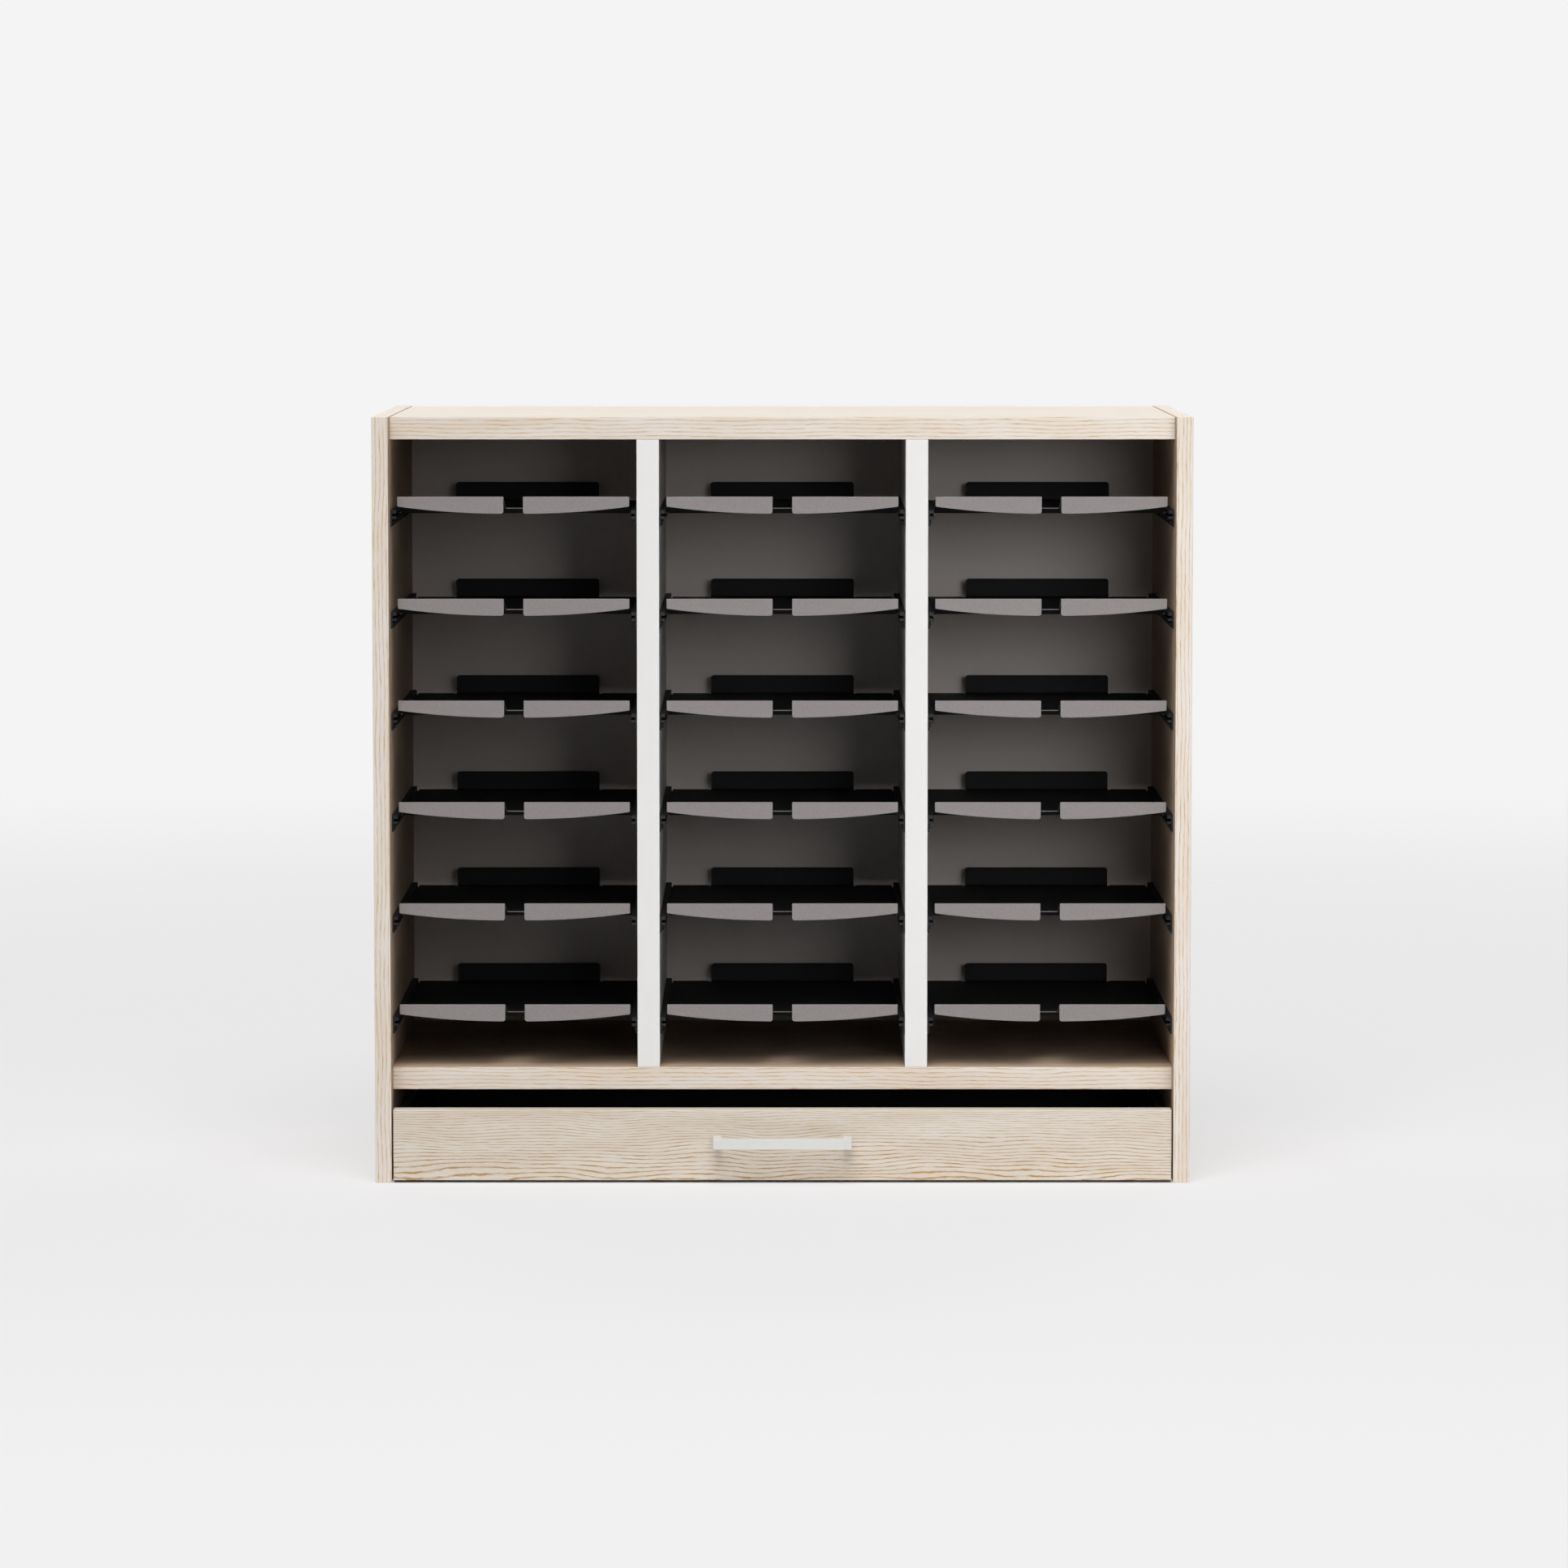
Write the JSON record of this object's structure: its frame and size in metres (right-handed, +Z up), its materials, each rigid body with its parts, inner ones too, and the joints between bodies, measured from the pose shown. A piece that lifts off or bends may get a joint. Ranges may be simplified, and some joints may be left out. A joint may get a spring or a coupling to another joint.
{
  "type": "classroom tray storage unit",
  "caption": "Low open board cabinet with three bays of sliding paper trays, each with a two-part front lip, above one wide shallow drawer with a bow handle.",
  "frame": {"origin": "on the floor under the centre of the overall box, handle included", "axes": "+X to the right seen from the front, +Y to the back (the open front and the handle face -Y), +Z up"},
  "size_m": [0.8, 0.4296, 0.7519],
  "materials": {
    "pale_veneer": "matt lacquered pale oak veneer on particle board, edged to match",
    "white_board": "white melamine-faced particle board with white edging",
    "back_board": "pale warm grey printed fibreboard",
    "plywood": "birch plywood",
    "drawer_box_board": "black foiled particle board",
    "drawer_bottom_board": "black faced hardboard",
    "zinc_plated_steel": "zinc-plated steel",
    "natural_nylon": "moulded nylon",
    "white_handle": "satin white lacquered metal",
    "black_plastic": "moulded matt black plastic",
    "black_sheet_steel": "black powder coat on folded sheet steel",
    "grey_powder_coat": "aluminium-grey powder coat, fine texture"
  },
  "bodies": {
    "carcass": {"side_panel_left": "pale_veneer", "side_panel_right": "pale_veneer", "top_panel": "pale_veneer", "bottom_shelf": "pale_veneer", "divider_1": "white_board", "divider_2": "white_board", "back_panel": "back_board", "carcass_tongues": "plywood", "back_panel_screws": "zinc_plated_steel", "tray_runners_c1": "black_plastic", "tray_runners_c2": "black_plastic", "tray_runners_c3": "black_plastic", "drawer_rails_fixed": "zinc_plated_steel"},
    "tray_c1r1": {"tray_pan_c1r1": "black_sheet_steel", "tray_lips_c1r1": "grey_powder_coat"},
    "tray_c1r2": {"tray_pan_c1r2": "black_sheet_steel", "tray_lips_c1r2": "grey_powder_coat"},
    "tray_c1r3": {"tray_pan_c1r3": "black_sheet_steel", "tray_lips_c1r3": "grey_powder_coat"},
    "tray_c1r4": {"tray_pan_c1r4": "black_sheet_steel", "tray_lips_c1r4": "grey_powder_coat"},
    "tray_c1r5": {"tray_pan_c1r5": "black_sheet_steel", "tray_lips_c1r5": "grey_powder_coat"},
    "tray_c1r6": {"tray_pan_c1r6": "black_sheet_steel", "tray_lips_c1r6": "grey_powder_coat"},
    "tray_c2r1": {"tray_pan_c2r1": "black_sheet_steel", "tray_lips_c2r1": "grey_powder_coat"},
    "tray_c2r2": {"tray_pan_c2r2": "black_sheet_steel", "tray_lips_c2r2": "grey_powder_coat"},
    "tray_c2r3": {"tray_pan_c2r3": "black_sheet_steel", "tray_lips_c2r3": "grey_powder_coat"},
    "tray_c2r4": {"tray_pan_c2r4": "black_sheet_steel", "tray_lips_c2r4": "grey_powder_coat"},
    "tray_c2r5": {"tray_pan_c2r5": "black_sheet_steel", "tray_lips_c2r5": "grey_powder_coat"},
    "tray_c2r6": {"tray_pan_c2r6": "black_sheet_steel", "tray_lips_c2r6": "grey_powder_coat"},
    "tray_c3r1": {"tray_pan_c3r1": "black_sheet_steel", "tray_lips_c3r1": "grey_powder_coat"},
    "tray_c3r2": {"tray_pan_c3r2": "black_sheet_steel", "tray_lips_c3r2": "grey_powder_coat"},
    "tray_c3r3": {"tray_pan_c3r3": "black_sheet_steel", "tray_lips_c3r3": "grey_powder_coat"},
    "tray_c3r4": {"tray_pan_c3r4": "black_sheet_steel", "tray_lips_c3r4": "grey_powder_coat"},
    "tray_c3r5": {"tray_pan_c3r5": "black_sheet_steel", "tray_lips_c3r5": "grey_powder_coat"},
    "tray_c3r6": {"tray_pan_c3r6": "black_sheet_steel", "tray_lips_c3r6": "grey_powder_coat"},
    "drawer": {"drawer_front": "pale_veneer", "drawer_side_left": "drawer_box_board", "drawer_side_right": "drawer_box_board", "drawer_back": "drawer_box_board", "drawer_bottom": "drawer_bottom_board", "drawer_handle": "white_handle", "handle_screws": "zinc_plated_steel", "drawer_rails_moving": "zinc_plated_steel"},
    "ball_cages": {"drawer_ball_cages": "natural_nylon"}
  },
  "joints": [
    {"name": "tray_slide_c1r1", "type": "slide", "parent": "carcass", "child": "tray_c1r1", "axis": [0, -1, 0], "range_m": [0, 0.25]},
    {"name": "tray_slide_c1r2", "type": "slide", "parent": "carcass", "child": "tray_c1r2", "axis": [0, -1, 0], "range_m": [0, 0.25]},
    {"name": "tray_slide_c1r3", "type": "slide", "parent": "carcass", "child": "tray_c1r3", "axis": [0, -1, 0], "range_m": [0, 0.25]},
    {"name": "tray_slide_c1r4", "type": "slide", "parent": "carcass", "child": "tray_c1r4", "axis": [0, -1, 0], "range_m": [0, 0.25]},
    {"name": "tray_slide_c1r5", "type": "slide", "parent": "carcass", "child": "tray_c1r5", "axis": [0, -1, 0], "range_m": [0, 0.25]},
    {"name": "tray_slide_c1r6", "type": "slide", "parent": "carcass", "child": "tray_c1r6", "axis": [0, -1, 0], "range_m": [0, 0.25]},
    {"name": "tray_slide_c2r1", "type": "slide", "parent": "carcass", "child": "tray_c2r1", "axis": [0, -1, 0], "range_m": [0, 0.25]},
    {"name": "tray_slide_c2r2", "type": "slide", "parent": "carcass", "child": "tray_c2r2", "axis": [0, -1, 0], "range_m": [0, 0.25]},
    {"name": "tray_slide_c2r3", "type": "slide", "parent": "carcass", "child": "tray_c2r3", "axis": [0, -1, 0], "range_m": [0, 0.25]},
    {"name": "tray_slide_c2r4", "type": "slide", "parent": "carcass", "child": "tray_c2r4", "axis": [0, -1, 0], "range_m": [0, 0.25]},
    {"name": "tray_slide_c2r5", "type": "slide", "parent": "carcass", "child": "tray_c2r5", "axis": [0, -1, 0], "range_m": [0, 0.25]},
    {"name": "tray_slide_c2r6", "type": "slide", "parent": "carcass", "child": "tray_c2r6", "axis": [0, -1, 0], "range_m": [0, 0.25]},
    {"name": "tray_slide_c3r1", "type": "slide", "parent": "carcass", "child": "tray_c3r1", "axis": [0, -1, 0], "range_m": [0, 0.25]},
    {"name": "tray_slide_c3r2", "type": "slide", "parent": "carcass", "child": "tray_c3r2", "axis": [0, -1, 0], "range_m": [0, 0.25]},
    {"name": "tray_slide_c3r3", "type": "slide", "parent": "carcass", "child": "tray_c3r3", "axis": [0, -1, 0], "range_m": [0, 0.25]},
    {"name": "tray_slide_c3r4", "type": "slide", "parent": "carcass", "child": "tray_c3r4", "axis": [0, -1, 0], "range_m": [0, 0.25]},
    {"name": "tray_slide_c3r5", "type": "slide", "parent": "carcass", "child": "tray_c3r5", "axis": [0, -1, 0], "range_m": [0, 0.25]},
    {"name": "tray_slide_c3r6", "type": "slide", "parent": "carcass", "child": "tray_c3r6", "axis": [0, -1, 0], "range_m": [0, 0.25]},
    {"name": "drawer_slide", "type": "slide", "parent": "carcass", "child": "drawer", "axis": [0, -1, 0], "range_m": [0, 0.26]},
    {"name": "cage_slide", "type": "slide", "parent": "carcass", "child": "ball_cages", "axis": [0, -1, 0], "range_m": [0, 0.13]}
  ],
  "couplings": [
    {"joint": "cage_slide", "follows": "drawer_slide", "ratio": 0.5}
  ]
}
